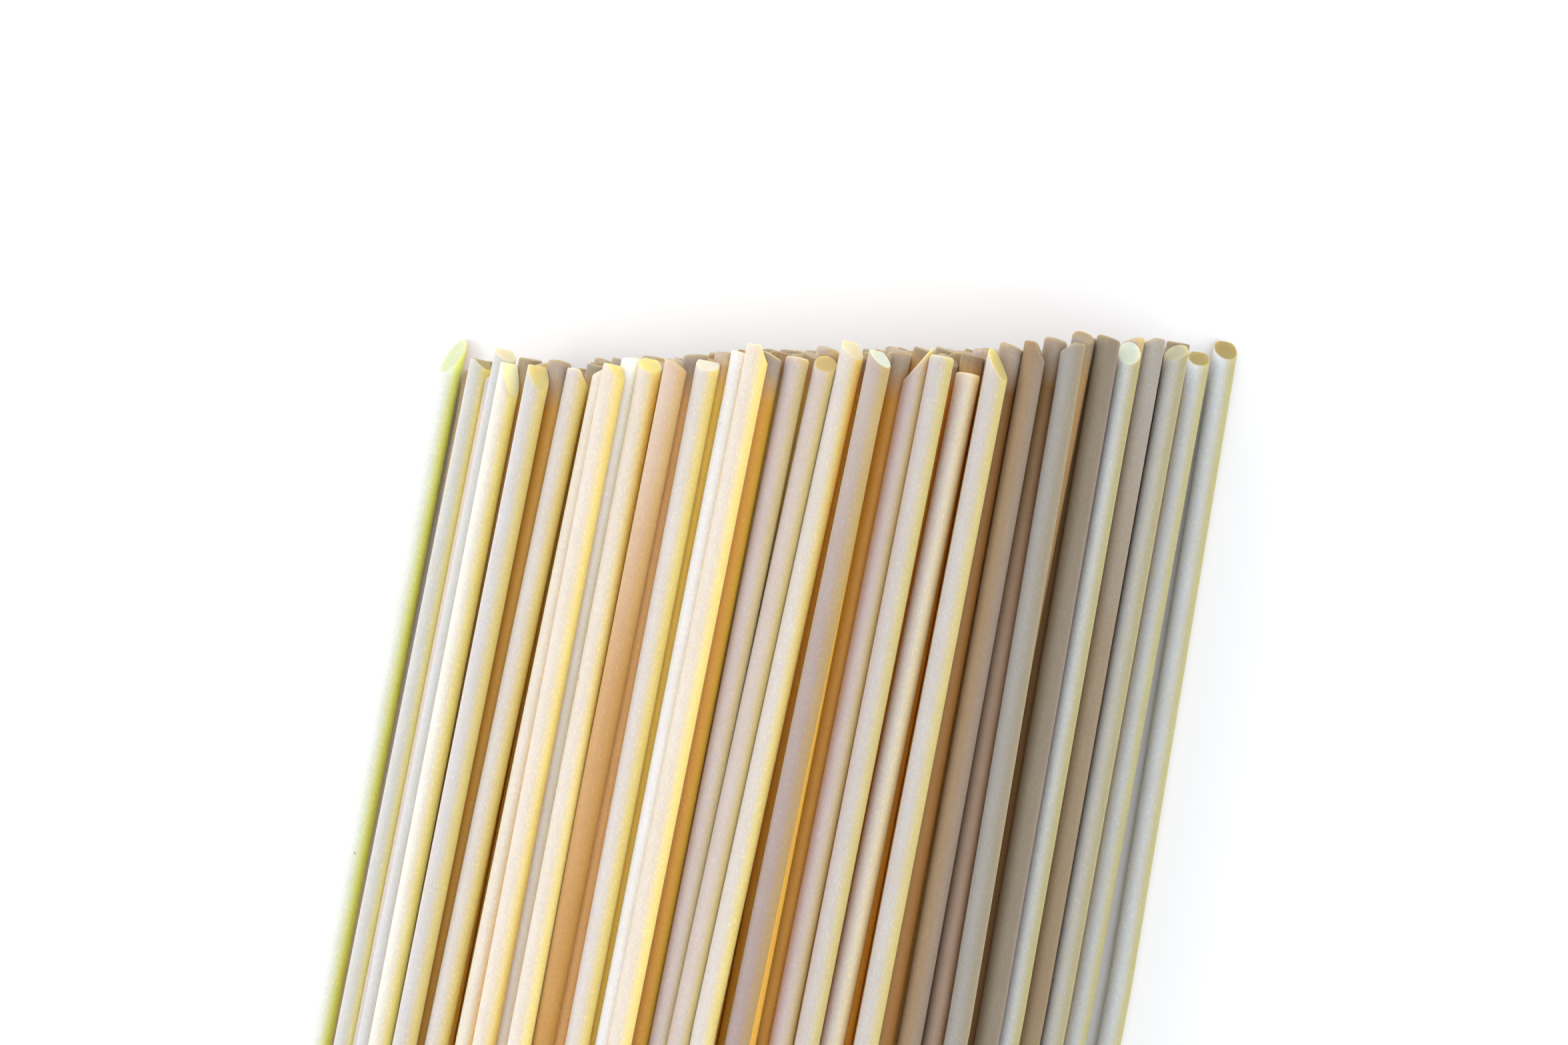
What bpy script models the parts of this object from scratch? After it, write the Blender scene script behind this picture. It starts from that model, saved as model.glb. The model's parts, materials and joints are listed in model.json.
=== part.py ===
"""A bundle of dried spaghetti, lying down, as one solid.

The strands are laid out by rule in millimetres. Those seen in the photo come first, at the places where the
photo shows them, and the rest of the heap settles under them. The solid is a core through the axes of the
outer strands, with those strands and the ends of many inner ones fused on. Metres, +Z up, +Y to the shown end.
"""

import math
import random

import bmesh
import bpy
import numpy as np

for old in list(bpy.data.objects):
    bpy.data.objects.remove(old)

MM = 0.001

# One strand of dried spaghetti.
THICK = 1.9
RADIUS = THICK / 2
THICK_ONE = 1.02
LENGTH = 255.0

# The photo, 2352 x 1568 pixels, taken as a view from straight above with the strands leaning to the right.
CENTRE_X = 1176
CENTRE_Y = 784
ROW_HIGH = 600
ROW_LOW = 1560
LENS = 7660.0
CAMERA_HEIGHT = 428.0
LEAN = math.radians(10.95)
SLANT = 0.2

# The strands that show, from left to right: name, column at ROW_HIGH and at ROW_LOW, row of the tip, layers
# below the top one, then the cut: the side where the tip reaches furthest, in degrees, its drop in pixels and
# the share of the strand's width that is cut square.
FRONT = (
    ("a", 668, 482, 507, 0, -48, 54, 0.0),
    ("b", 709, 518, 539, 0, 215, 12, 0.5),
    ("c", 744, 553, 524, 1, 240, 16, 0.2),
    ("d", 758, 572, 546, 0, 222, 46, 0.35),
    ("e", 801, 609, 550, 0, 235, 32, 0.3),
    ("e2", 830, 633, 542, 2, 90, 5, 0.0),
    ("f", 857, 654, 553, 0, 180, 20, 0.55),
    ("g", 898, 701, 549, 1, 0, 14, 0.4),
    ("h", 912, 727, 547, 0, 215, 20, 0.5),
    ("i", 938, 754, 536, 1, 60, 5, 0.0),
    ("j", 964, 780, 537, 0, 262, 18, 0.1),
    ("k", 1004, 814, 541, 1, 180, 12, 0.4),
    ("k2", 1031, 841, 530, 2, 20, 6, 0.0),
    ("l", 1051, 866, 540, 0, 270, 14, 0.3),
    ("m", 1101, 912, 527, 1, 180, 4, 0.0),
    ("n", 1122, 930, 517, 0, 180, 22, 0.6),
    ("n2", 1143, 957, 529, 1.6, 180, 8, 0.3),
    ("o", 1184, 992, 535, 1, 90, 3, 0.0),
    ("p", 1227, 1020, 532, 0.6, -90, 22, 0.0),
    ("q", 1263, 1054, 510, 0, 235, 24, 0.15),
    ("r", 1307, 1107, 527, 1, 225, 20, 0.2),
    ("r2", 1336, 1141, 526, 2, 40, 6, 0.0),
    ("s", 1368, 1174, 516, 1, 0, 52, 0.0),
    ("t", 1402, 1213, 533, 0, 90, 2, 0.0),
    ("u", 1447, 1251, 558, 0, 90, 3, 0.0),
    ("v", 1488, 1302, 524, 0, 212, 42, 0.0),
    ("v2", 1503, 1323, 516, 1.6, 150, 8, 0.0),
    ("w", 1540, 1366, 513, 0.6, 190, 24, 0.5),
    ("w2", 1569, 1401, 508, 1.6, 120, 5, 0.0),
    ("x", 1598, 1436, 514, 0, 0, 14, 0.5),
    ("x2", 1625, 1460, 507, 1.6, 70, 5, 0.0),
    ("y", 1648, 1481, 505, 1, 150, 5, 0.0),
    ("z", 1684, 1515, 512, 0, -90, 32, 0.0),
    ("aa", 1716, 1545, 507, 1, 20, 12, 0.3),
    ("bb", 1753, 1580, 516, 0, 300, 24, 0.0),
    ("cc", 1790, 1617, 527, 0, -90, 20, 0.1),
    ("dd", 1826, 1666, 513, 0, 262, 26, 0.1),
)

# Heights of the axes of the strands at both sides, which lie on the floor or lean on the heap.
FLANK = {"a": RADIUS, "b": 10.7, "cc": 4.5, "dd": RADIUS}

# Distances from the shown end at which each strand has a place of its own.
STATIONS = (0.0, 25.0, 55.0, 110.0, 180.0, 255.0)
# The heap: middle and half width of the places, height of the crown and rise of a layer.
MIDDLE = 2.3
HALF = 28.9
TOP = 30.5
LAYER = 1.65
PITCH = 1.97


def seen(column, row, height):
    """Place across and along of a point of the photo, at a height above the floor."""
    pixel = (CAMERA_HEIGHT - height) / LENS
    right = (column - CENTRE_X) * pixel
    up = (CENTRE_Y - row) * pixel
    across = right * math.cos(LEAN) - up * math.sin(LEAN)
    along = right * math.sin(LEAN) + up * math.cos(LEAN)
    return across, along


def along_at(across, row, height):
    """Place along of the point that the photo shows in this row, for a place across."""
    pixel = (CAMERA_HEIGHT - height) / LENS
    up = (CENTRE_Y - row) * pixel
    right = (across + up * math.sin(LEAN)) / math.cos(LEAN)
    return right * math.sin(LEAN) + up * math.cos(LEAN)


def crown(across):
    """Height of the top of the heap."""
    share = min(1.0, abs(across - MIDDLE) / (HALF + 2.0))
    return TOP * math.sqrt(1 - share**2 * math.sqrt(math.sqrt(share)))


def back_row(across):
    """Row of the photo in which the tips end that look out over the front ones."""
    return float(np.interp(across, (-24.0, -20.0, -16.0, -10.0, -6.0, 22.0), (537, 538, 522, 519, 508, 506)))


def front_strands():
    """Places across, heights and tips of the strands that show, at each station."""
    across, height, tips, cuts = [], [], [], []
    for name, high, low, row, down, side, drop, square in FRONT:
        level = 20.0
        for _ in range(8):
            x, y = seen(high, ROW_HIGH, level)
            level = FLANK.get(name, crown(x) - RADIUS - down * LAYER)
        x_low, y_low = seen(low, ROW_LOW, level)
        drift = (x_low - x) / (y - y_low)
        tip = seen(high + (ROW_HIGH - row) * SLANT, row, level)[1]
        start = x - drift * (tip - y)
        across.append([start + drift * (min(t, 60.0) - 0.1 * max(0.0, t - 60.0)) for t in STATIONS])
        height.append([level] * len(STATIONS))
        tips.append(tip)
        cuts.append((math.radians(side), drop * CAMERA_HEIGHT / LENS, square))
    return np.array(across), np.array(height), tips, cuts


def heap(rng, front):
    """First places of the strands under the ones that show: rows laid like logs, a little uneven."""
    first = front[np.argsort(front[:, 0])]
    across, height = [], []
    level, row = RADIUS, 0
    while level < TOP:
        left, right, pitch = MIDDLE - HALF, MIDDLE + HALF, PITCH
        right = min(right, first[-3, 0])
        x = left + rng.uniform(0.0, 0.6) + (row % 2) * 0.98
        if row == 0:
            left, right = first[0, 0] + 1.0, first[-1, 0] - 2.5
            pitch = (first[-1, 0] - first[0, 0] - 0.04) / 33
            x = first[0, 0] + pitch
        while x < right:
            spot = x + (rng.uniform(-0.28, 0.28) if row else 0.0)
            rise = level + (rng.uniform(-0.2, 0.2) if row else 0.0)
            kept = rng.random() > 0.02 or row == 0
            if left < spot < right and kept and rise < crown(spot) - RADIUS - LAYER * 1.8:
                shift = [float(np.interp(spot, first[:, 0], first[:, k] - first[:, 0])) for k in range(6)]
                across.append([spot + s for s in shift])
                height.append([rise + rng.uniform(-0.25, 0.25) for _ in STATIONS])
            x += pitch
        level += 1.66
        row += 1
    return np.array(across), np.array(height)


def settle(across, height, radius, shown):
    """Moves the strands apart and down until none stands in another. The ones that show stay where they are
    seen, and only rise or sink."""
    count = len(across)
    goal = across[:shown].copy()
    hold = np.array([1.0, 1.0, 1.0, 0.02, 0.02, 0.02])
    span = goal.max(axis=0) - goal.min(axis=0)
    wide = HALF * span / span[0]
    middle = (goal.max(axis=0) + goal.min(axis=0)) / 2
    middle = middle - middle[0] + MIDDLE
    far = np.array(STATIONS)
    weight = (far[2:] - far[1:-1]) / (far[2:] - far[:-2])
    rounds = 700
    for step in range(rounds):
        if step % 25 == 0:
            dx = across[:, None, :] - across[None, :, :]
            dz = height[:, None, :] - height[None, :, :]
            near = (dx * dx + dz * dz < (THICK + 1.3) ** 2).any(axis=2)
            a, b = np.nonzero(np.triu(near, 1))
            both = ((a < shown) & (b < shown))[:, None]
            want = (radius[a] + radius[b])[:, None]
        if step < rounds * 0.8:
            height -= 0.012
        off = across - middle
        over = np.maximum(0.0, np.abs(off) - wide) * 0.5 * np.sign(off)
        over += np.maximum(0.0, across - over - goal[shown - 3]) * 0.5
        over[:shown] = 0.0
        over[height < 1.5] = 0.0
        across -= over
        for _ in range(3):
            dx = across[a] - across[b]
            dz = height[a] - height[b]
            apart = np.sqrt(dx * dx + dz * dz) + 1e-9
            push = np.maximum(0.0, want - apart) * 0.3
            rise = np.sqrt(np.maximum(0.0, want * want - dx * dx)) - np.abs(dz)
            lift = np.maximum(0.0, rise) * 0.3 * np.where(dz < 0, -1.0, 1.0)
            move_x = np.where(both, 0.0, dx / apart * push)
            move_z = np.where(both, lift, dz / apart * push)
            for k in range(len(STATIONS)):
                across[:, k] += np.bincount(a, move_x[:, k], count) - np.bincount(b, move_x[:, k], count)
                height[:, k] += np.bincount(a, move_z[:, k], count) - np.bincount(b, move_z[:, k], count)
            across[:shown] += (goal - across[:shown]) * hold
            height = np.maximum(height, radius[:, None])
            height[0] = radius[0]
            height[shown - 1] = radius[shown - 1]
        for places in (across, height):
            straight = places[:, :-2] * weight + places[:, 2:] * (1 - weight)
            places[:, 1:-1] += (straight - places[:, 1:-1]) * 0.12
            places[:, 0] += (places[:, 1] * 2.2 - places[:, 2] * 1.2 - places[:, 0]) * 0.05
            places[:, -1] += (places[:, -2] * 2 - places[:, -3] - places[:, -1]) * 0.05
        across[:shown] += (goal - across[:shown]) * hold
        across = np.round(across, 6)
        height = np.round(np.maximum(height, radius[:, None]), 6)
    return across, height


def bundle():
    """Every strand: places across and heights at the stations, radius, both ends and both cuts."""
    rng = random.Random(7)
    front, levels, tips, cuts = front_strands()
    shown = len(front)
    under, under_levels = heap(rng, front)
    across = np.concatenate([front, under])
    height = np.concatenate([levels, under_levels])
    radius = np.array([RADIUS * rng.uniform(0.98, 1.02) for _ in across])
    radius[shown - 1] = THICK_ONE
    across, height = settle(across, height, radius, shown)
    feet, foot_cuts = [], []
    for i in range(len(across)):
        if i >= shown:
            x, z = float(across[i, 0]), float(height[i, 0])
            behind = 0.0 if crown(x) - z < 4.6 else 24.0
            tips.append(along_at(x, back_row(x) + behind + rng.gauss(0.0, 4.0), z))
            cuts.append((rng.uniform(0.0, math.tau), rng.choice((0.1, 0.15, 0.2, 0.3, 0.5, 0.9)), 0.0))
        feet.append(tips[i] - LENGTH - rng.gauss(0.0, 0.35))
        foot_cuts.append((rng.uniform(0.0, math.tau), rng.choice((0.1, 0.2, 0.3, 0.5, 0.8, 1.4)), 0.0))
    middle_x = (float((across - radius[:, None]).min()) + float((across + radius[:, None]).max())) / 2
    middle_y = (max(tips) + min(feet)) / 2
    across = across - middle_x
    tips = [tip - middle_y for tip in tips]
    feet = [foot - middle_y for foot in feet]
    return across, height, radius, tips, feet, cuts, foot_cuts, shown


ACROSS, HEIGHT, RADII, TIPS, FEET, CUTS, FOOT_CUTS, SHOWN = bundle()


def outer_strands():
    """The strands met first by rays that come from all round towards the middle, at three stations."""
    found = np.zeros(len(ACROSS), int)
    for k in (0, 2, 5):
        x = ACROSS[:, k] - (ACROSS[:, k].min() + ACROSS[:, k].max()) / 2
        z = HEIGHT[:, k] - 9.0
        for ray in range(1440):
            turn = math.tau * ray / 1440
            ahead = x * math.cos(turn) + z * math.sin(turn)
            beside = np.abs(z * math.cos(turn) - x * math.sin(turn))
            reach = np.where(
                (beside < RADII) & (ahead > 0), ahead + np.sqrt(np.maximum(0.0, RADII**2 - beside**2)), -1.0
            )
            found[int(np.argmax(reach))] += 1
    return [i for i in range(len(ACROSS)) if found[i] >= (3 if i < SHOWN else 9)]


def place(i, t):
    """Axis of strand i at distance t from its shown end."""
    x = float(np.interp(t, STATIONS, ACROSS[i]))
    z = float(np.interp(t, STATIONS, HEIGHT[i]))
    return x, TIPS[i] - t, z


def column(name, sides, steps, spot):
    """A closed column of so many sides. spot(step, corner) gives the place of each corner in millimetres."""
    work = bmesh.new()
    bmesh.ops.create_circle(work, segments=sides, radius=1.0)
    edges = work.edges[:]
    for _ in range(steps):
        grown = bmesh.ops.extrude_edge_only(work, edges=edges)["geom"]
        bmesh.ops.translate(work, verts=[g for g in grown if isinstance(g, bmesh.types.BMVert)], vec=(0, 0, 1))
        edges = [g for g in grown if isinstance(g, bmesh.types.BMEdge) and g.is_boundary]
    bmesh.ops.holes_fill(work, edges=[e for e in work.edges if e.is_boundary], sides=0)
    first = next(iter(work.verts))
    start = math.atan2(first.co.y, first.co.x)
    for v in work.verts:
        corner = round((math.atan2(v.co.y, v.co.x) - start) / math.tau * sides) % sides
        x, y, z = spot(round(v.co.z), corner)
        v.co = (x * MM, y * MM, z * MM)
    work.normal_update()
    bmesh.ops.recalc_face_normals(work, faces=work.faces)
    if work.calc_volume(signed=True) < 0:
        bmesh.ops.reverse_faces(work, faces=work.faces)
    mesh = bpy.data.meshes.new(name)
    work.to_mesh(mesh)
    work.free()
    return bpy.data.objects.new(name, mesh)


def cut_depth(cut, around, share=1.0):
    """How far the cut lies behind the tip, on one side of the strand and at a share of its radius."""
    side, drop, square = cut
    reach = (1 - share * math.cos(around - side)) / 2
    return drop * max(0.0, reach - square) / (1 - square)


def inward(i):
    """Direction in which the inside of the heap lies, seen from strand i."""
    x, y, z = place(i, 60.0)
    return math.atan2(6.0 - z, -0.75 * x)


def lies_flat(i):
    """Whether strand i lies on the floor all along."""
    return bool(HEIGHT[i].max() < 1.1)


def strand(i, sides, stops, keel):
    """Strand i between stops along it, with its own cut at a stop that is one of its ends. One corner looks
    into the heap. Between the ends it reaches deeper by the keel, so that the strand holds to the core. On the
    floor a corner looks down instead, and at both sides of the heap a flat does, so the whole rests evenly."""
    turn = inward(i)
    flat = lies_flat(i)
    if flat:
        turn = 0.0 if i in (0, SHOWN - 1) else -math.pi / 2

    def spot(step, corner):
        t = stops[step]
        around = turn + math.tau * corner / sides
        x, y, z = place(i, t)
        deeper = keel if corner == 0 and 0.0 < t < LENGTH else 0.0
        size = float(RADII[i]) + deeper
        if t == 0.0:
            y = TIPS[i] - cut_depth(CUTS[i], around)
        if t == LENGTH:
            y = FEET[i] + cut_depth(FOOT_CUTS[i], around)
        level = z + size * math.sin(around)
        return x + size * math.cos(around), y, 0.0 if flat and level < 0.2 else level

    return column(f"strand_{i}", sides, len(stops) - 1, spot)


# The outer strands, and the order in which they stand round the heap.
outer = outer_strands()
stops = (0.0, 60.0, LENGTH)
core_stops = (2.2, 60.0, LENGTH - 2.2)


def core_corner(i, step):
    """Where the core passes strand i, a little inside its axis."""
    x, y, z = place(i, core_stops[step])
    into = inward(i)
    return x + 0.5 * math.cos(into), max(z + 0.5 * math.sin(into), 1.1)


def turn_of(i, share):
    """Direction of the core's corner at strand i from the middle of the heap, at a share of the way along."""
    step = min(int(share), len(core_stops) - 2)
    x, z = core_corner(i, step)
    x_next, z_next = core_corner(i, step + 1)
    part = share - step
    return math.atan2(z + (z_next - z) * part - 9.0, x + (x_next - x) * part) % math.tau


def in_order(i, last):
    shares = [k / 4 for k in range(4 * len(core_stops) - 3)]
    steps = [(turn_of(i, share) - turn_of(last, share) + math.pi) % math.tau - math.pi for share in shares]
    return all(0.01 < step < 1.0 for step in steps)


outer.sort(key=lambda i: turn_of(i, 0.0))
rim = [outer[0]]
for i in outer[1:]:
    if in_order(i, rim[-1]):
        rim.append(i)


def end_plane(ends, station):
    """The flat that runs through the ends at one side of the heap: its height, slope across and slope up."""
    table = np.stack([np.ones(len(ends)), ACROSS[:, station], HEIGHT[:, station]], axis=1)
    return [round(float(c), 5) for c in np.linalg.lstsq(table, np.array(ends), rcond=None)[0]]


TIP_PLANE = end_plane(TIPS, 0)
FOOT_PLANE = end_plane(FEET, -1)


def core_spot(step, corner):
    x, z = core_corner(rim[corner], step)
    y = place(rim[corner], core_stops[step])[1]
    if step == 0:
        y = TIP_PLANE[0] + TIP_PLANE[1] * x + TIP_PLANE[2] * z - 1.8
    if step == len(core_stops) - 1:
        y = FOOT_PLANE[0] + FOOT_PLANE[1] * x + FOOT_PLANE[2] * z + 1.5
    return x, y, z


core = column("spaghetti_bundle", len(rim), len(core_stops) - 1, core_spot)
bpy.context.collection.objects.link(core)

pieces = bpy.data.collections.new("pieces")
bpy.context.scene.collection.children.link(pieces)
for i in outer:
    pieces.objects.link(strand(i, 6, stops, 0.0 if lies_flat(i) else 3.0))


def deep(i):
    """Whether strand i lies well inside the heap at both ends."""
    ends = ((ACROSS[i, 0], HEIGHT[i, 0]), (ACROSS[i, 5], HEIGHT[i, 5]))
    return all(abs(x) < 27.0 and z < crown(x + MIDDLE) - 5.0 for x, z in ends)


# Ends of the inner strands, spread evenly over both ends of the heap.
inner = [i for i in range(len(ACROSS)) if i not in outer and deep(i)]
for i in inner[::3]:
    pieces.objects.link(strand(i, 5, (0.0, 7.0), 0.0))
for i in inner[1::3]:
    pieces.objects.link(strand(i, 5, (LENGTH - 7.0, LENGTH), 0.0))


union = core.modifiers.new("union", "BOOLEAN")
union.operation = "UNION"
union.operand_type = "COLLECTION"
union.collection = pieces
union.solver = "EXACT"
bpy.context.view_layer.objects.active = core
bpy.ops.object.modifier_apply(modifier=union.name)
for piece in list(pieces.objects):
    bpy.data.objects.remove(piece)
bpy.data.collections.remove(pieces)

# Only the one body stays: sealed hollows are filled and loose scraps dropped.
work = bmesh.new()
work.from_mesh(core.data)
bodies = []
left = set(work.faces)
while left:
    body = {left.pop()}
    reach = list(body)
    while reach:
        sewn = [edge for edge in reach.pop().edges if edge.is_manifold]
        beside = {face for edge in sewn for face in edge.link_faces} & left
        left -= beside
        body |= beside
        reach.extend(beside)
    bodies.append(body)
bodies.sort(key=len)
bmesh.ops.delete(work, geom=[face for body in bodies[:-1] for face in body], context="FACES")
work.to_mesh(core.data)
work.free()
core.data.update()

# Floury dry pasta.
pasta = bpy.data.materials.new("pasta")
pasta.use_nodes = True
shader = pasta.node_tree.nodes["Principled BSDF"]
shader.inputs["Base Color"].default_value = (0.72, 0.60, 0.36, 1.0)
shader.inputs["Roughness"].default_value = 0.6
shader.inputs["Metallic"].default_value = 0.0
core.data.materials.clear()
core.data.materials.append(pasta)
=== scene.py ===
"""A bundle of dried spaghetti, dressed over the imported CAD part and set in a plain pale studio."""

import json
import math
import random

import bmesh
import bpy
import numpy as np
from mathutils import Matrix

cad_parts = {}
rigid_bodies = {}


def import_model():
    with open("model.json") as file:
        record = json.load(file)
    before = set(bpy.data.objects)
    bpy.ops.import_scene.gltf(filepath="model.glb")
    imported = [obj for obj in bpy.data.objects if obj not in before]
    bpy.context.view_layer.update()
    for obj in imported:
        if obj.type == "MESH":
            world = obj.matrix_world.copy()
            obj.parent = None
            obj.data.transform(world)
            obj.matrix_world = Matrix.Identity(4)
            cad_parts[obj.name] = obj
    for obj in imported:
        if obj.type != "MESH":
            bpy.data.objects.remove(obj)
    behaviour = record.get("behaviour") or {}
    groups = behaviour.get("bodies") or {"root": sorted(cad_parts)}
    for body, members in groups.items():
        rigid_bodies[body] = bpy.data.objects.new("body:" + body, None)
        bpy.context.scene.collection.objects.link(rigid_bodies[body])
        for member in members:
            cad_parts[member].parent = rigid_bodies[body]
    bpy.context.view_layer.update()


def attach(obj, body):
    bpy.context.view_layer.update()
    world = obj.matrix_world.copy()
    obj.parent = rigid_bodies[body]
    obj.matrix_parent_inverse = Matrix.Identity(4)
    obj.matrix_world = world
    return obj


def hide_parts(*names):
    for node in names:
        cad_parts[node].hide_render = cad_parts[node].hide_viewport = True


for old in list(bpy.data.objects):
    bpy.data.objects.remove(old)

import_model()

# How the strands lie. Dried spaghetti is sold as a handful of straight rods, all cut to one length. Laid on
# a table the rods settle into a low mound, row on row. The places of those that show come from the photo, in
# its own 2352 x 1568 pixels, and the rest settle under them. Sizes are in millimetres.
MM = 0.001
THICK = 1.9
RADIUS = THICK / 2
THINNEST = 0.98
THICKEST = 1.02
LAST_RADIUS = 1.02
LENGTH = 255.0

# The photo: its middle and the two rows in which the strands were placed, the lens in pixels, the height of
# the camera above the floor, the lean of the bundle, and the columns that a strand moves over for each row.
CENTRE_X = 1176
CENTRE_Y = 784
ROW_HIGH = 600
ROW_LOW = 1560
LENS = 7660.0
CAMERA_HEIGHT = 428.0
LEAN = math.radians(10.95)
SLANT = 0.2

# Name, column at ROW_HIGH and at ROW_LOW, row of the tip, layers below the top one, then the cut: the side
# where the tip reaches furthest, in degrees, its drop in pixels and the share of the strand's width that is
# cut square. The last words name the strand's tone with its painted light and shade, and the colour of its
# cut with painted light.
FRONT = (
    ("a", 668, 482, 507, 0, -48, 54, 0.0, "green", "lime"),
    ("b", 709, 518, 539, 0, 215, 12, 0.5, "olive", "amber"),
    ("c", 744, 553, 524, 1, 240, 16, 0.2, "pink", "pale"),
    ("d", 758, 572, 546, 0, 222, 46, 0.35, "sunny", "straw"),
    ("e", 801, 609, 550, 0, 235, 32, 0.3, "wheat", "honey"),
    ("e2", 830, 633, 542, 2, 90, 5, 0.0, "amber", "brown"),
    ("f", 857, 654, 553, 0, 180, 20, 0.55, "pale", "pale"),
    ("g", 898, 701, 549, 1, 0, 14, 0.4, "cream", "pale"),
    ("h", 912, 727, 547, 0, 215, 20, 0.5, "bright", "yellow"),
    ("i", 938, 754, 536, 1, 60, 5, 0.0, "white", "pale"),
    ("j", 964, 780, 537, 0, 262, 18, 0.1, "bright", "yellow"),
    ("k", 1004, 814, 541, 1, 180, 12, 0.4, "dusk", "brown"),
    ("k2", 1031, 841, 530, 2, 20, 6, 0.0, "apricot", "brown"),
    ("l", 1051, 866, 540, 0, 270, 14, 0.3, "pale", "bone"),
    ("m", 1101, 912, 527, 1, 180, 4, 0.0, "milk", "pale"),
    ("n", 1122, 930, 517, 0, 180, 22, 0.6, "bright", "pale"),
    ("n2", 1143, 957, 529, 1.6, 180, 8, 0.3, "gold", "honey"),
    ("o", 1184, 992, 535, 1, 90, 3, 0.0, "mauve", "pale"),
    ("p", 1227, 1020, 532, 0.6, -90, 22, 0.0, "pearl", "toffee"),
    ("q", 1263, 1054, 510, 0, 235, 24, 0.15, "pale", "pale"),
    ("r", 1307, 1107, 527, 1, 225, 20, 0.2, "haze", "white"),
    ("r2", 1336, 1141, 526, 2, 40, 6, 0.0, "amber", "brown"),
    ("s", 1368, 1174, 516, 1, 0, 52, 0.0, "mauve", "pale"),
    ("t", 1402, 1213, 533, 0, 90, 2, 0.0, "clear", "pale"),
    ("u", 1447, 1251, 558, 0, 90, 3, 0.0, "peach", "pale"),
    ("v", 1488, 1302, 524, 0, 212, 42, 0.0, "clear", "honey"),
    ("v2", 1503, 1323, 516, 1.6, 150, 8, 0.0, "brown", "brown"),
    ("w", 1540, 1366, 513, 0.6, 190, 24, 0.5, "shade", "brown"),
    ("w2", 1569, 1401, 508, 1.6, 120, 5, 0.0, "brown", "brown"),
    ("x", 1598, 1436, 514, 0, 0, 14, 0.5, "grey", "brown"),
    ("x2", 1625, 1460, 507, 1.6, 70, 5, 0.0, "brown", "brown"),
    ("y", 1648, 1481, 505, 1, 150, 5, 0.0, "moss", "brown"),
    ("z", 1684, 1515, 512, 0, -90, 32, 0.0, "mist", "white"),
    ("aa", 1716, 1545, 507, 1, 20, 12, 0.3, "reed", "brown"),
    ("bb", 1753, 1580, 516, 0, 300, 24, 0.0, "fog", "moss"),
    ("cc", 1790, 1617, 527, 0, -90, 20, 0.1, "frost", "amber"),
    ("dd", 1826, 1666, 513, 0, 262, 26, 0.1, "frost", "amber"),
)
SHOWN = len(FRONT)

# The last strand on the right that is part of the heap. The two past it lie lower, at its foot.
HEAP_EDGE = SHOWN - 3

# Heights of the axes of the strands at both sides, which lie on the floor or lean on the heap.
FLANK = {"a": RADIUS, "b": 10.7, "cc": 4.5, "dd": RADIUS}

# Distances from the tip at which each strand has a place of its own, how far the strands fan apart and the
# share of that slope by which they close again beyond.
STATIONS = (0.0, 25.0, 55.0, 110.0, 180.0, 255.0)
FAN_LENGTH = 60.0
FAN_BACK = 0.1

# The heap: middle and half width of the places, how far past them the crown meets the floor, its height, the
# rise of a layer and the pitch in a row.
MIDDLE = 2.3
HALF = 28.9
SKIRT = 2.0
TOP = 30.5
LAYER = 1.65
PITCH = 1.97

# Rows of the photo in which the tips end that look out over the front ones, for places across.
BACK_ACROSS = (-24.0, -20.0, -16.0, -10.0, -6.0, 22.0)
BACK_ROWS = (537, 538, 522, 519, 508, 506)


def seen(column, row, height):
    """Place across and along of a point of the photo, at a height above the floor."""
    pixel = (CAMERA_HEIGHT - height) / LENS
    right = (column - CENTRE_X) * pixel
    up = (CENTRE_Y - row) * pixel
    across = right * math.cos(LEAN) - up * math.sin(LEAN)
    along = right * math.sin(LEAN) + up * math.cos(LEAN)
    return across, along


def along_at(across, row, height):
    """Place along of the point that the photo shows in this row, for a place across."""
    pixel = (CAMERA_HEIGHT - height) / LENS
    up = (CENTRE_Y - row) * pixel
    right = (across + up * math.sin(LEAN)) / math.cos(LEAN)
    return right * math.sin(LEAN) + up * math.cos(LEAN)


def crown(across):
    """Height of the top of the heap."""
    share = min(1.0, abs(across - MIDDLE) / (HALF + SKIRT))
    return TOP * math.sqrt(1 - share**2 * math.sqrt(math.sqrt(share)))


# A strand's height and its place across depend on each other, so both are found in a few turns.
FIRST_LEVEL = 20.0
LEVEL_TURNS = 8


def front_strands():
    """Places across and heights at each station, tips and cuts of the strands that show."""
    across, height, tips, cuts = [], [], [], []
    for name, high, low, row, down, side, drop, square, tone_and_light, cut in FRONT:
        level = FIRST_LEVEL
        for _ in range(LEVEL_TURNS):
            x, y = seen(high, ROW_HIGH, level)
            level = FLANK.get(name, crown(x) - RADIUS - down * LAYER)
        x_low, y_low = seen(low, ROW_LOW, level)
        drift = (x_low - x) / (y - y_low)
        tip = seen(high + (ROW_HIGH - row) * SLANT, row, level)[1]
        start = x - drift * (tip - y)
        fan = [min(t, FAN_LENGTH) - FAN_BACK * max(0.0, t - FAN_LENGTH) for t in STATIONS]
        across.append([start + drift * run for run in fan])
        height.append([level] * len(STATIONS))
        tips.append(tip)
        cuts.append((math.radians(side), drop * CAMERA_HEIGHT / LENS, square))
    return np.array(across), np.array(height), tips, cuts


# The rows under the shown strands: the rise from row to row, how far every other row is moved over, the
# unevenness of the start of a row, of a place, of its height and of each station, the share of places left
# empty and the layers kept free for the shown strands.
ROW_RISE = 1.66
HALF_PITCH = 0.98
START_JITTER = 0.6
SIDE_JITTER = 0.28
RISE_JITTER = 0.2
STATION_JITTER = 0.25
LEFT_OUT = 0.02
LAYERS_FREE = 1.8

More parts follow.
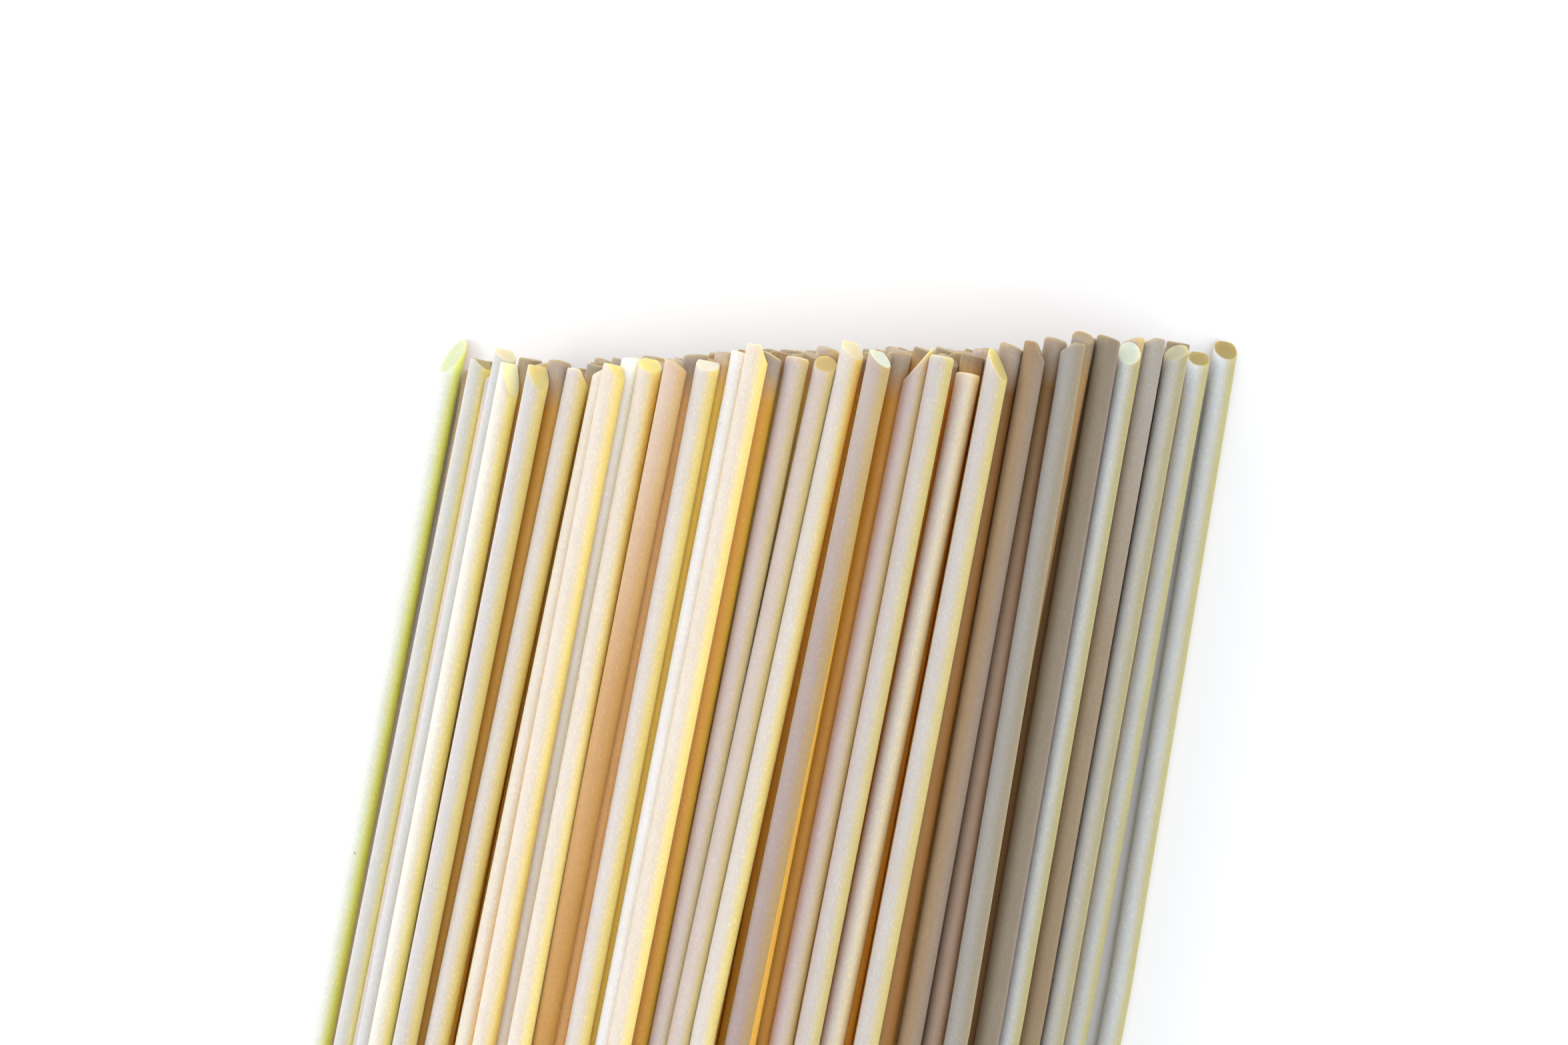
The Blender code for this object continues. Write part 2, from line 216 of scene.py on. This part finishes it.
# The lowest row lies side by side between the outermost strands: its places, and the room kept at its ends.
FLOOR_PLACES = 33
FLOOR_SLACK = 0.04
FLOOR_LEFT = 1.0
FLOOR_RIGHT = 2.5


def heap(rng, front):
    """First places of the strands under the ones that show: rows laid like logs, a little uneven."""
    first = front[np.argsort(front[:, 0])]
    across, height = [], []
    level, row = RADIUS, 0
    while level < TOP:
        left, right, pitch = MIDDLE - HALF, MIDDLE + HALF, PITCH
        right = min(right, first[HEAP_EDGE, 0])
        x = left + rng.uniform(0.0, START_JITTER) + (row % 2) * HALF_PITCH
        if row == 0:
            left, right = first[0, 0] + FLOOR_LEFT, first[-1, 0] - FLOOR_RIGHT
            pitch = (first[-1, 0] - first[0, 0] - FLOOR_SLACK) / FLOOR_PLACES
            x = first[0, 0] + pitch
        while x < right:
            spot = x + (rng.uniform(-SIDE_JITTER, SIDE_JITTER) if row else 0.0)
            rise = level + (rng.uniform(-RISE_JITTER, RISE_JITTER) if row else 0.0)
            kept = rng.random() > LEFT_OUT or row == 0
            if left < spot < right and kept and rise < crown(spot) - RADIUS - LAYER * LAYERS_FREE:
                for_station = [first[:, k] - first[:, 0] for k in range(len(STATIONS))]
                across.append([spot + float(np.interp(spot, first[:, 0], moved)) for moved in for_station])
                height.append([rise + rng.uniform(-STATION_JITTER, STATION_JITTER) for _ in STATIONS])
            x += pitch
        level += ROW_RISE
        row += 1
    return np.array(across), np.array(height)


# How the heap settles: its rounds, the rounds between two looks for neighbours and how far these look, the
# share of the rounds in which the strands sink and by how much, and the passes and the share of an overlap
# that one pass takes away.
ROUNDS = 700
LOOK_EVERY = 25
REACH = 1.3
SINK_SHARE = 0.8
SINK = 0.012
PASSES = 3
PUSH = 0.3

# A strand above the lowest row that strays past the flanks comes back by a share. Each strand stays straight
# by a share in its run and at its ends, where the tip follows the line of the next two stations. The shown
# strands are held where they are seen, and hardly at all further back.
BACK_IN = 0.5
LOWEST_ROW = 1.5
STIFF = 0.12
STIFF_END = 0.05
TIP_NEXT = 2.2
TIP_SECOND = 1.2
HOLD = (1.0, 1.0, 1.0, 0.02, 0.02, 0.02)

# A distance is never quite zero, because it is divided by. Places are rounded after each round, so that small
# differences in the arithmetic don't grow.
NEVER_ZERO = 1e-9
DECIMALS = 6


def settle(across, height, radius):
    """Moves the strands apart and down over a set number of rounds, after which few stand in another by more
    than
    0.05 mm, and the worst by 0.26. The ones that show stay where they are seen, and only rise or sink there."""
    count = len(across)
    goal = across[:SHOWN].copy()
    hold = np.array(HOLD)
    span = goal.max(axis=0) - goal.min(axis=0)
    wide = HALF * span / span[0]
    middle = (goal.max(axis=0) + goal.min(axis=0)) / 2
    middle = middle - middle[0] + MIDDLE
    far = np.array(STATIONS)
    weight = (far[2:] - far[1:-1]) / (far[2:] - far[:-2])
    for step in range(ROUNDS):
        if step % LOOK_EVERY == 0:
            dx = across[:, None, :] - across[None, :, :]
            dz = height[:, None, :] - height[None, :, :]
            near = (dx * dx + dz * dz < (THICK + REACH) ** 2).any(axis=2)
            a, b = np.nonzero(np.triu(near, 1))
            both = ((a < SHOWN) & (b < SHOWN))[:, None]
            want = (radius[a] + radius[b])[:, None]
        if step < ROUNDS * SINK_SHARE:
            height -= SINK
        off = across - middle
        over = np.maximum(0.0, np.abs(off) - wide) * BACK_IN * np.sign(off)
        over += np.maximum(0.0, across - over - goal[HEAP_EDGE]) * BACK_IN
        over[:SHOWN] = 0.0
        over[height < LOWEST_ROW] = 0.0
        across -= over
        for _ in range(PASSES):
            dx = across[a] - across[b]
            dz = height[a] - height[b]
            apart = np.sqrt(dx * dx + dz * dz) + NEVER_ZERO
            push = np.maximum(0.0, want - apart) * PUSH
            rise = np.sqrt(np.maximum(0.0, want * want - dx * dx)) - np.abs(dz)
            lift = np.maximum(0.0, rise) * PUSH * np.where(dz < 0, -1.0, 1.0)
            move_x = np.where(both, 0.0, dx / apart * push)
            move_z = np.where(both, lift, dz / apart * push)
            for k in range(len(STATIONS)):
                for places, move in ((across, move_x), (height, move_z)):
                    places[:, k] += np.bincount(a, move[:, k], count) - np.bincount(b, move[:, k], count)
            across[:SHOWN] += (goal - across[:SHOWN]) * hold
            height = np.maximum(height, radius[:, None])
            for outermost in (0, SHOWN - 1):
                height[outermost] = radius[outermost]
        for places in (across, height):
            straight = places[:, :-2] * weight + places[:, 2:] * (1 - weight)
            places[:, 1:-1] += (straight - places[:, 1:-1]) * STIFF
            at_tip = places[:, 1] * TIP_NEXT - places[:, 2] * TIP_SECOND
            places[:, 0] += (at_tip - places[:, 0]) * STIFF_END
            at_foot = places[:, -2] * 2 - places[:, -3]
            places[:, -1] += (at_foot - places[:, -1]) * STIFF_END
        across[:SHOWN] += (goal - across[:SHOWN]) * hold
        across = np.round(across, DECIMALS)
        height = np.round(np.maximum(height, radius[:, None]), DECIMALS)
    return across, height


# The ends of the strands underneath: how deep they may lie for their tips to end on the line of the back row,
# how many rows of the photo the deeper ones fall back, the spread of the tips in rows and of the lengths, and
# the drops of the cuts.
BACK_DEPTH = 4.6
FALL_BACK = 24.0
TIP_SPREAD = 4.0
LENGTH_SPREAD = 0.35
TIP_DROPS = (0.1, 0.15, 0.2, 0.3, 0.5, 0.9)
FOOT_DROPS = (0.1, 0.2, 0.3, 0.5, 0.8, 1.4)
LAYOUT_SEED = 7

rng = random.Random(LAYOUT_SEED)
front_across, front_height, tips, cuts = front_strands()
under_across, under_height = heap(rng, front_across)
across = np.concatenate([front_across, under_across])
height = np.concatenate([front_height, under_height])
radii = np.array([RADIUS * rng.uniform(THINNEST, THICKEST) for _ in across])
radii[SHOWN - 1] = LAST_RADIUS
across, height = settle(across, height, radii)
feet, foot_cuts = [], []
for i in range(len(across)):
    if i >= SHOWN:
        x, z = float(across[i, 0]), float(height[i, 0])
        behind = 0.0 if crown(x) - z < BACK_DEPTH else FALL_BACK
        line = float(np.interp(x, BACK_ACROSS, BACK_ROWS))
        tips.append(along_at(x, line + behind + rng.gauss(0.0, TIP_SPREAD), z))
        cuts.append((rng.uniform(0.0, math.tau), rng.choice(TIP_DROPS), 0.0))
    feet.append(tips[i] - LENGTH - rng.gauss(0.0, LENGTH_SPREAD))
    foot_cuts.append((rng.uniform(0.0, math.tau), rng.choice(FOOT_DROPS), 0.0))
middle_x = (float((across - radii[:, None]).min()) + float((across + radii[:, None]).max())) / 2
middle_y = (max(tips) + min(feet)) / 2
across = across - middle_x
tips = [tip - middle_y for tip in tips]
feet = [foot - middle_y for foot in feet]

# The strands themselves. Each is a rod of durum dough pushed through a round die, dried hard and cut at both
# ends, where a shear leaves a slanted or a square face with a slightly broken rim. They are one kind of
# thing, so they are one piece, and it stands for the whole solid of the heap.
SIDES_SHOWN = 28
SIDES_UNDER = 12

# The broken rim: its length along the strand and how much it takes off the radius. Then how far along the
# strand its cut shifts the corners, the rings on a face, as shares of the radius, and the stops along it.
RIM = 0.12
RIM_IN = RIM * 0.8
CUT_REACH = 2.0
TIP_RINGS = (0.2, 0.4, 0.6, 0.8)
STOPS_SHOWN = (0.0, RIM, 1.0, 4.0, 25.0, 55.0, 110.0, 180.0, LENGTH - 4.0, LENGTH - RIM, LENGTH)
STOPS_UNDER = (0.0, RIM, 3.5, 55.0, 180.0, LENGTH - RIM, LENGTH)


def paint(red, green, blue):
    """A colour in the usual 0 to 255 as the shader wants it. All lie above the curve's straight foot."""
    return np.array([((c / 255 + 0.055) / 1.055) ** 2.4 for c in (red, green, blue)])


# Each tone of dough with its painted light: the face turned to the lamp is painted lit, and the far edge is
# painted with the glow of light that comes through. Strands that lie low or between higher ones are painted
# darker, as painted shade, and a few are painted lighter against the shade that falls on them. They are set
# so that the rendered strands come near those of the photo.
TONES_AND_PAINTED_LIGHT = {
    "white": (paint(255, 245, 238), paint(255, 240, 212)),
    "green": (paint(212, 217, 213), paint(225, 237, 124)),
    "olive": (paint(190, 190, 188), paint(236, 225, 125)),
    "bright": (paint(206, 198, 188), paint(240, 220, 134)),
    "pale": (paint(199, 193, 189), paint(228, 210, 124)),
    "cream": (paint(210, 203, 193), paint(234, 200, 106)),
    "peach": (paint(212, 204, 198), paint(232, 218, 172)),
    "pink": (paint(190, 192, 194), paint(210, 198, 162)),
    "mauve": (paint(188, 177, 177), paint(199, 180, 126)),
    "dusk": (paint(196, 178, 163), paint(208, 178, 120)),
    "haze": (paint(175, 164, 159), paint(190, 167, 108)),
    "shade": (paint(150, 128, 100), paint(150, 134, 118)),
    "grey": (paint(153, 150, 146), paint(150, 139, 114)),
    "moss": (paint(150, 140, 120), paint(134, 122, 106)),
    "mist": (paint(205, 208, 209), paint(168, 160, 112)),
    "gold": (paint(202, 152, 76), paint(198, 150, 46)),
    "amber": (paint(174, 127, 38), paint(213, 165, 86)),
    "brown": (paint(140, 108, 62), paint(122, 80, 28)),
    "sunny": (paint(213, 211, 204), paint(250, 242, 150)),
    "clear": (paint(187, 183, 182), paint(204, 190, 126)),
    "pearl": (paint(191, 181, 178), paint(206, 186, 118)),
    "reed": (paint(180, 177, 172), paint(160, 153, 143)),
    "fog": (paint(190, 189, 184), paint(162, 154, 114)),
    "milk": (paint(213, 212, 213), paint(230, 217, 180)),
    "wheat": (paint(190, 187, 187), paint(218, 203, 126)),
    "frost": (paint(214, 220, 229), paint(182, 176, 124)),
    "apricot": (paint(232, 186, 126), paint(236, 184, 112)),
    "caramel": (paint(182, 140, 80), paint(188, 142, 70)),
    "rust": (paint(160, 145, 143), paint(176, 148, 100)),
    "sedge": (paint(158, 140, 112), paint(142, 123, 94)),
    "nut": (paint(166, 129, 76), paint(146, 98, 38)),
    "umber": (paint(166, 145, 128), paint(155, 129, 104)),
}

# Strands whose colour, with its painted light, turns into another further from the tip, and where that starts
# and ends.
LATER = {"k": "caramel", "r": "rust", "v2": "nut", "w2": "umber", "aa": "sedge"}
LATER_SPAN = (6.0, 34.0)

# The colours of the cut faces, with painted light: a painted highlight on the white ones, and painted shade
# on the brown ones, which also end the strands underneath.
CUT_COLOURS_AND_LIGHT = {
    "lime": paint(204, 211, 174),
    "yellow": paint(232, 216, 134),
    "pale": paint(222, 212, 176),
    "white": paint(206, 214, 196),
    "amber": paint(166, 149, 86),
    "straw": paint(255, 252, 205),
    "bone": paint(224, 218, 200),
    "honey": paint(212, 198, 130),
    "toffee": paint(194, 170, 104),
    "moss": paint(182, 180, 148),
    "brown": paint(160, 140, 108),
}
# Tones of the strands underneath, picked at random; the darker ones are partly painted shade.
UNDER_TONES_AND_LIGHT = ("mauve", "haze", "shade", "grey", "moss")
LOOKS_SEED = 23
looks = random.Random(LOOKS_SEED)

# Painted glow of dough deep in the heap, standing in for light that comes through the strands and bounces
# between them: amber on the left, orange and then dull to the right, as painted shade, with the places across
# between which each turns into the next. The deeper strands have painted grey tips, as if lit by daylight
# instead of the glow.
GLOW_PAINTED_AMBER = paint(252, 206, 100)
GLOW_PAINTED_ORANGE = paint(247, 186, 80)
GLOW_PAINTED_DULL = paint(176, 138, 86)
TO_ORANGE = (-6.0, 3.0)
TO_DULL = (8.0, 18.0)
TIP_PAINTED_GREY = paint(165, 152, 138)
GREY_TIPPED = ("gold", "amber", "brown", "apricot")

# How far round, as a cosine, the painted lit face of a strand turns into its painted glowing edge, and how far
# its side is turned inward and downward before it counts as inside the heap and takes the painted glow.
TO_PAINTED_GLOW = (-0.3, 0.85)
INWARD = (-0.2, 0.3)
DOWNWARD = (-0.05, 0.4)

# How deep under the crown a strand is buried, and how far in from the flanks, for the painted glow. The inside
# of the heap is where its heart is, at a height above the floor, seen from a strand with the width of the heap
# pressed together.
BURIED_DEPTH = (2.0, 3.8)
BURIED_SIDE = (1.5, 4.5)
HEART = 6.0
HEART_PRESS = 0.75


def smooth_share(value, span):
    """0 at the start of the span, 1 at its end and an even bend between."""
    low, high = span
    share = min(1.0, max(0.0, (value - low) / (high - low)))
    return share * share * (3 - 2 * share)


def blend(first, second, share):
    """A colour by a share of the way from the first to the second."""
    return first + (second - first) * share


def dough_and_painted_light(tone_and_light, later, x, t, around, outward, buried):
    """Colour of a strand, with painted light, on one side of it and at a distance from its tip: a painted lit
    face, a painted glow at the far edge, and the painted glow of the heap where it is buried or turned inward."""
    share = smooth_share(t, LATER_SPAN)
    face, edge = (blend(early, late, share) for early, late in zip(TONES_AND_PAINTED_LIGHT[tone_and_light], TONES_AND_PAINTED_LIGHT[later]))
    # Deep strands end in painted grey tips, lit as if by daylight instead of the glow.
    if tone_and_light in GREY_TIPPED and t < CUT_REACH:
        face = edge = TIP_PAINTED_GREY
    # The painted lit face turns into the painted glow of the far edge.
    colour = blend(face, edge, smooth_share(math.cos(around), TO_PAINTED_GLOW))
    painted_glow = blend(GLOW_PAINTED_AMBER, GLOW_PAINTED_ORANGE, smooth_share(x, TO_ORANGE))
    painted_glow = blend(painted_glow, GLOW_PAINTED_DULL, smooth_share(x, TO_DULL))
    inward = smooth_share(-math.cos(around - outward), INWARD)
    inside = inward * smooth_share(-math.sin(around), DOWNWARD)
    return blend(colour, painted_glow, max(buried, inside))


def cut_depth(cut, around, share):
    """How far the cut lies behind the tip, on one side of the strand and at a share of its radius."""
    side, drop, square = cut
    reach = (1 - share * math.cos(around - side)) / 2
    return drop * max(0.0, reach - square) / (1 - square)


def rod(i, sides, rings, stops):
    """Strand i as a closed rod of so many sides, with rings on the face of its tip and one at each stop."""
    made = bmesh.new()
    # The corners carry the strand's colour with its painted light and shade.
    colours_with_painted_light = made.verts.layers.float_color.new("dough_and_painted_light")
    bmesh.ops.create_circle(made, segments=sides, radius=1.0)
    edges = made.edges[:]
    # Until the rod gets its shape below, the height of a corner is the number of its step.
    steps = [(0.0, ring) for ring in rings] + [(t, 1.0) for t in stops]
    for _ in steps[1:]:
        grown = bmesh.ops.extrude_edge_only(made, edges=edges)["geom"]
        moved = [g for g in grown if isinstance(g, bmesh.types.BMVert)]
        bmesh.ops.translate(made, verts=moved, vec=(0, 0, 1))
        edges = [g for g in grown if isinstance(g, bmesh.types.BMEdge) and g.is_boundary]
    bmesh.ops.holes_fill(made, edges=[edge for edge in made.edges if edge.is_boundary], sides=0)
    for face in made.faces:
        at_tip = max(v.co.z for v in face.verts) < len(rings) + 0.5
        at_foot = min(v.co.z for v in face.verts) > len(steps) - 1.5
        face.smooth = not (at_tip or at_foot)
        face.material_index = 1 if at_tip or at_foot else 0
    tone_and_light, cut = FRONT[i][-2:] if i < SHOWN else (looks.choice(UNDER_TONES_AND_LIGHT), "brown")
    later = LATER.get(FRONT[i][0], tone_and_light) if i < SHOWN else tone_and_light
    for v in made.verts:
        t, share = steps[round(v.co.z)]
        around = math.atan2(v.co.y, v.co.x)
        at_end = t in (0.0, LENGTH)
        size = (float(radii[i]) - (RIM_IN if at_end else 0.0)) * share
        y = tips[i] - t
        if t < CUT_REACH:
            y -= cut_depth(cuts[i], around, share)
        if t > LENGTH - CUT_REACH:
            y = feet[i] + LENGTH - t + cut_depth(foot_cuts[i], around, share)
        x = float(np.interp(t, STATIONS, across[i])) + size * math.cos(around)
        middle = float(np.interp(t, STATIONS, height[i]))
        z = middle + size * math.sin(around)
        v.co = (x * MM, y * MM, z * MM)
        # Strands buried in the heap, away from its flanks, take its painted glow.
        buried = 0.0
        if i >= SHOWN and RIM < t < LENGTH - RIM:
            from_side = min(across[i, 0] - across[0, 0], across[HEAP_EDGE, 0] - across[i, 0])
            depth = crown(x + middle_x) - z
            buried = smooth_share(depth, BURIED_DEPTH) * smooth_share(from_side, BURIED_SIDE)
        outward = math.atan2(middle - HEART, HEART_PRESS * x)
        colour = CUT_COLOURS_AND_LIGHT[cut] if at_end else dough_and_painted_light(tone_and_light, later, x, t, around, outward, buried)
        v[colours_with_painted_light] = (*colour, 1.0)
    made.normal_update()
    bmesh.ops.recalc_face_normals(made, faces=made.faces)
    if made.calc_volume(signed=True) < 0:
        bmesh.ops.reverse_faces(made, faces=made.faces)
    return made


strand_mesh = bpy.data.meshes.new("spaghetti_strands")
one_rod = bpy.data.meshes.new("one_rod")
work = bmesh.new()
work.verts.layers.float_color.new("dough_and_painted_light")
for i in range(len(across)):
    if i < SHOWN:
        made = rod(i, SIDES_SHOWN, TIP_RINGS, STOPS_SHOWN)
    else:
        made = rod(i, SIDES_UNDER, (), STOPS_UNDER)
    made.to_mesh(one_rod)
    made.free()
    work.from_mesh(one_rod)
work.to_mesh(strand_mesh)
work.free()
bpy.data.meshes.remove(one_rod)
strands = bpy.data.objects.new("spaghetti_strands", strand_mesh)
bpy.context.collection.objects.link(strands)

# The dough seen close: pale flecks of semolina, which also stand in for the glints on its grains as painted
# highlights, faint clouds drawn out along the strand and brown specks of bran, all as counts per metre, then
# the relief, the gloss, how deep light goes in, in metres, and the share of that for each colour.
FLECK_AND_GLINT_COUNT = 8500.0
CLOUD_COUNT = 700.0
SPECK_COUNT = 140.0
SPECK = (0.16, 0.10, 0.06, 1.0)
RELIEF = 0.4
GLOSS = 0.35
LIGHT_REACH = 0.0014
LIGHT_SHARES = (1.0, 0.75, 0.22)


def place_node(tree, kind, **values):
    """A new node of this kind with the named inputs set."""
    node = tree.nodes.new(kind)
    for name, value in values.items():
        node.inputs[name.replace("_", " ")].default_value = value
    return node


# Sockets of the Mix node when it mixes colours.
MIX_SHARE = 0
MIX_FIRST = 6
MIX_SECOND = 7
MIX_RESULT = 2


def mixed(tree, blend_type, share, first, second):
    """Two colours mixed by a share. Each of the three is a value or a socket."""
    node = tree.nodes.new("ShaderNodeMix")
    node.data_type = "RGBA"
    node.blend_type = blend_type
    node.clamp_result = True
    for place, value in ((MIX_SHARE, share), (MIX_FIRST, first), (MIX_SECOND, second)):
        if isinstance(value, bpy.types.NodeSocket):
            tree.links.new(value, node.inputs[place])
        else:
            node.inputs[place].default_value = value
    return node.outputs[MIX_RESULT]


grain = bpy.data.node_groups.new("semolina_grain", "ShaderNodeTree")
grain.interface.new_socket("Stretch", in_out="INPUT", socket_type="NodeSocketFloat")
for given in ("Flecks_and_glints", "Specks", "Clouds", "Height"):
    grain.interface.new_socket(given, in_out="OUTPUT", socket_type="NodeSocketFloat")
way_in = grain.nodes.new("NodeGroupInput")
way_out = grain.nodes.new("NodeGroupOutput")
where = grain.nodes.new("ShaderNodeTexCoord")
drawn = grain.nodes.new("ShaderNodeVectorMath")
drawn.operation = "MULTIPLY"
along = place_node(grain, "ShaderNodeCombineXYZ", X=1.0, Z=1.0)
grain.links.new(way_in.outputs["Stretch"], along.inputs["Y"])
grain.links.new(where.outputs["Object"], drawn.inputs[0])
grain.links.new(along.outputs[0], drawn.inputs[1])
fine = place_node(grain, "ShaderNodeTexNoise", Scale=FLECK_AND_GLINT_COUNT, Detail=2.0, Roughness=0.6)
broad = place_node(grain, "ShaderNodeTexNoise", Scale=CLOUD_COUNT, Detail=2.0, Roughness=0.5)
for noise in (fine, broad):
    grain.links.new(drawn.outputs[0], noise.inputs["Vector"])
# Pale flecks that lighten the dough, partly painted glints on its grains.
flecks_and_glints = place_node(grain, "ShaderNodeMapRange", From_Min=0.5, From_Max=0.8, To_Min=0.98, To_Max=1.2)
clouds = place_node(grain, "ShaderNodeMapRange", From_Min=0.3, From_Max=0.7, To_Max=0.25)
grain.links.new(fine.outputs[0], flecks_and_glints.inputs["Value"])
grain.links.new(broad.outputs[0], clouds.inputs["Value"])
grain.links.new(flecks_and_glints.outputs[0], way_out.inputs["Flecks_and_glints"])
grain.links.new(clouds.outputs[0], way_out.inputs["Clouds"])
grain.links.new(fine.outputs[0], way_out.inputs["Height"])
spots = place_node(grain, "ShaderNodeTexVoronoi", Scale=SPECK_COUNT)
specks = place_node(grain, "ShaderNodeMapRange", From_Min=0.03, From_Max=0.012, To_Max=0.7)
grain.links.new(where.outputs["Object"], spots.inputs["Vector"])
grain.links.new(spots.outputs["Distance"], specks.inputs["Value"])
grain.links.new(specks.outputs[0], way_out.inputs["Specks"])


def pasta(name, stretch, rough, shade, bump):
    """A material of dried dough: each strand's colour with its painted light and shade, cloudy, and flecked
    with pale grains and painted glints, with light going through.
    """
    material = bpy.data.materials.new(name)
    material.use_nodes = True
    tree = material.node_tree
    shader = tree.nodes["Principled BSDF"]
    grains = tree.nodes.new("ShaderNodeGroup")
    grains.node_tree = grain
    grains.inputs["Stretch"].default_value = stretch
    # The strands' colours, with their painted light and shade.
    colours_with_painted_light = tree.nodes.new("ShaderNodeAttribute")
    colours_with_painted_light.attribute_name = "dough_and_painted_light"
    shaded = mixed(tree, "MULTIPLY", grains.outputs["Clouds"], colours_with_painted_light.outputs["Color"], shade)
    flecked_and_glinting = mixed(tree, "MULTIPLY", 1.0, shaded, grains.outputs["Flecks_and_glints"])
    speckled = mixed(tree, "MIX", grains.outputs["Specks"], flecked_and_glinting, SPECK)
    tree.links.new(speckled, shader.inputs["Base Color"])
    relief = place_node(tree, "ShaderNodeBump", Strength=RELIEF, Distance=bump)
    tree.links.new(grains.outputs["Height"], relief.inputs["Height"])
    tree.links.new(relief.outputs[0], shader.inputs["Normal"])
    shader.inputs["Roughness"].default_value = rough
    shader.inputs["Specular IOR Level"].default_value = GLOSS
    shader.inputs["Subsurface Weight"].default_value = 1.0
    shader.inputs["Subsurface Radius"].default_value = LIGHT_SHARES
    shader.inputs["Subsurface Scale"].default_value = LIGHT_REACH
    return material


dried = pasta("dried_dough", stretch=0.35, rough=0.62, shade=(0.90, 0.84, 0.74, 1.0), bump=0.00004)
broken = pasta("cut_dough", stretch=1.0, rough=0.35, shade=(0.86, 0.76, 0.60, 1.0), bump=0.00002)
strand_mesh.materials.append(dried)
strand_mesh.materials.append(broken)
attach(strands, "root")
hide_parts("spaghetti_bundle")

# The table. A plain pale matt sheet, far wider than the bundle. It lies a hair under the lowest strands, so
# that they don't share a surface with it. From here on sizes are in metres.
FLOOR_WIDE = 6.0
FLOOR_DROP = 0.00005
FLOOR_PALE = (0.96, 0.96, 0.96, 1.0)
FLOOR_ROUGH = 0.9
floor_mesh = bpy.data.meshes.new("floor")
work = bmesh.new()
bmesh.ops.create_grid(work, x_segments=1, y_segments=1, size=FLOOR_WIDE / 2)
bmesh.ops.translate(work, verts=work.verts, vec=(0.0, 0.0, -FLOOR_DROP))
work.to_mesh(floor_mesh)
work.free()
floor = bpy.data.objects.new("floor", floor_mesh)
bpy.context.collection.objects.link(floor)
pale = bpy.data.materials.new("pale_floor")
pale.use_nodes = True
pale.node_tree.nodes["Principled BSDF"].inputs["Base Color"].default_value = FLOOR_PALE
pale.node_tree.nodes["Principled BSDF"].inputs["Roughness"].default_value = FLOOR_ROUGH
floor_mesh.materials.append(pale)

# The light. A broad warm lamp stands on the left, a little below half way up, and shines through the far
# edges of the strands. A pale room fills the side turned away from it.
KEY_RISE = math.radians(42.0)
KEY_FAR = 1.1
KEY_WIDE = 0.35
KEY_POWER = 3.2
KEY_WARM = (1.0, 0.97, 0.92)
ROOM = (0.93, 0.95, 1.0, 1.0)
ROOM_LIGHT = 1.3
left = (-math.cos(LEAN), -math.sin(LEAN))
key_light = bpy.data.lights.new("key", "AREA")
key_light.shape = "DISK"
key_light.size = KEY_WIDE
key_light.energy = KEY_POWER
key_light.color = KEY_WARM
key = bpy.data.objects.new("key", key_light)
bpy.context.collection.objects.link(key)
key.location = (
    left[0] * KEY_FAR * math.cos(KEY_RISE),
    left[1] * KEY_FAR * math.cos(KEY_RISE),
    KEY_FAR * math.sin(KEY_RISE),
)
key.rotation_euler = (0.0, -(math.pi / 2 - KEY_RISE), LEAN)
world = bpy.data.worlds.new("room")
bpy.context.scene.world = world
world.use_nodes = True
world.node_tree.nodes["Background"].inputs["Color"].default_value = ROOM
world.node_tree.nodes["Background"].inputs["Strength"].default_value = ROOM_LIGHT

# The camera. It looks straight down from the height that the photo's narrowing gives, turned so that the
# strands lean to the right.
SENSOR = 36.0
PHOTO_WIDE = 2352
lens = bpy.data.cameras.new("camera")
lens.sensor_width = SENSOR
lens.lens = SENSOR * LENS / PHOTO_WIDE
camera = bpy.data.objects.new("camera", lens)
bpy.context.collection.objects.link(camera)
camera.location = (-middle_x * MM, -middle_y * MM, CAMERA_HEIGHT * MM)
camera.rotation_euler = (0.0, 0.0, LEAN)
bpy.context.scene.camera = camera
bpy.context.scene.view_settings.view_transform = "Standard"
